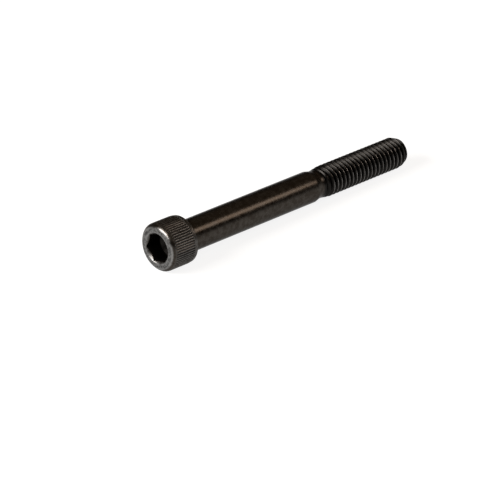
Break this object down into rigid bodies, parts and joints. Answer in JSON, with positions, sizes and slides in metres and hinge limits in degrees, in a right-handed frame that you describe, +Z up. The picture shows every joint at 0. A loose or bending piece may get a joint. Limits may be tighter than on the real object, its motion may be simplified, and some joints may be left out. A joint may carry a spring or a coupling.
{
  "type": "socket head cap screw",
  "caption": "Black steel cap screw with a knurled cylindrical head, a hexagon socket, a plain shank and a rolled coarse thread, for clamping parts together.",
  "frame": {"origin": "on the surface that the screw lies on, below the middle of its length", "axes": "+X towards the head and its socket, along the screw's length; +Z up"},
  "size_m": [0.0986, 0.0142, 0.0145],
  "materials": {
    "blackened_steel": "black oxide, lightly oiled"
  },
  "bodies": {
    "root": {"cap_screw": "blackened_steel"}
  },
  "joints": []
}
